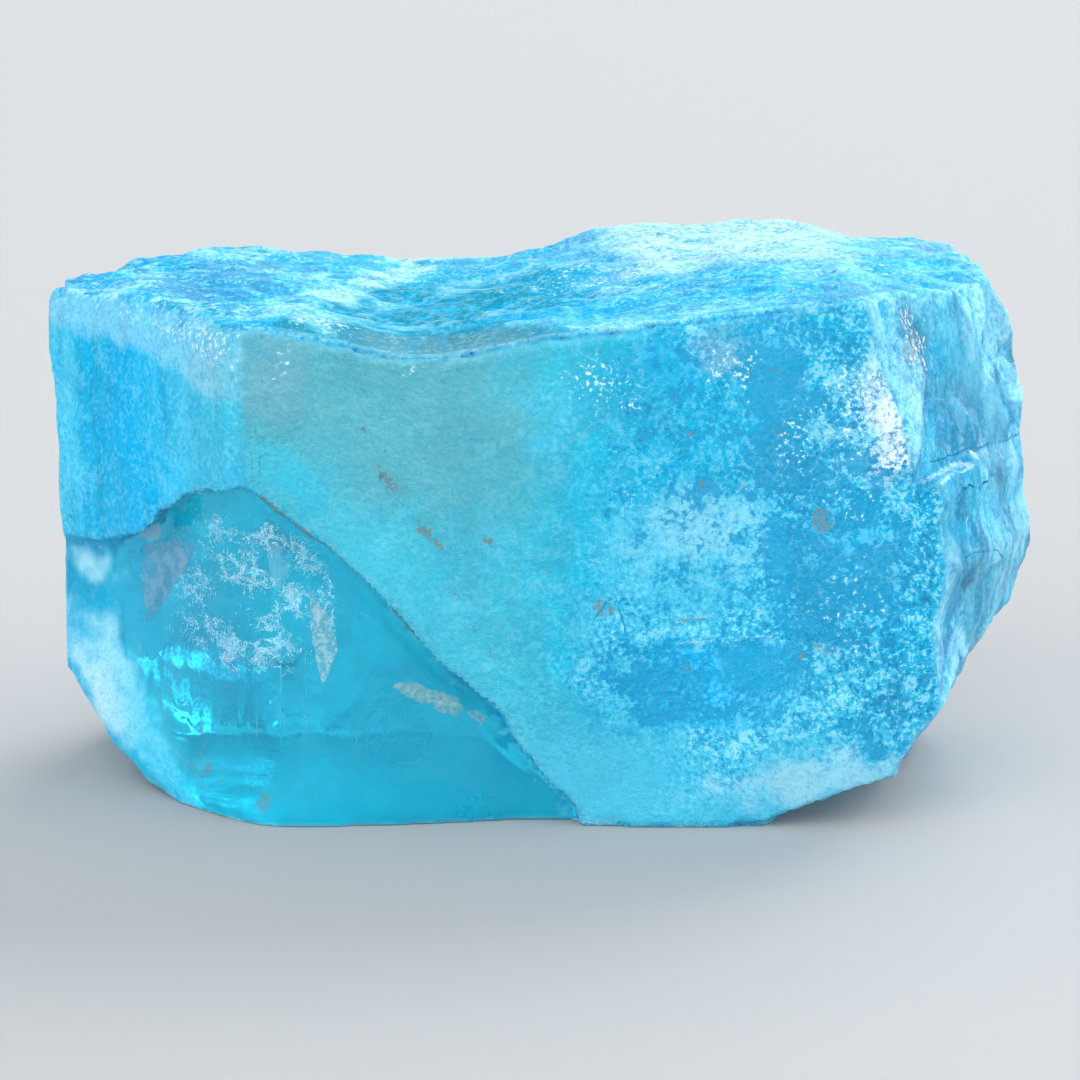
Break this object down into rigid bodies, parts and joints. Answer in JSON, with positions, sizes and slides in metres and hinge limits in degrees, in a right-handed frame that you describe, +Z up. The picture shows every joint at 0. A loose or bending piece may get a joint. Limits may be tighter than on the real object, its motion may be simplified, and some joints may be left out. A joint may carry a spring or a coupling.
{
  "type": "aquamarine crystal",
  "caption": "Rough see-through blue beryl crystal: a short broken length of a hexagonal prism that rests on its flat lower break.",
  "frame": {"origin": "under the middle of the bounding box, on the flat lower break that the crystal rests on", "axes": "+Z up along the growth axis, +X along the longest side, +Y from the front prism face to the back one"},
  "size_m": [0.0392, 0.0214, 0.0213],
  "materials": {
    "aquamarine": "frosted natural faces with clear fractures"
  },
  "bodies": {
    "root": {"crystal": "aquamarine"}
  },
  "joints": []
}
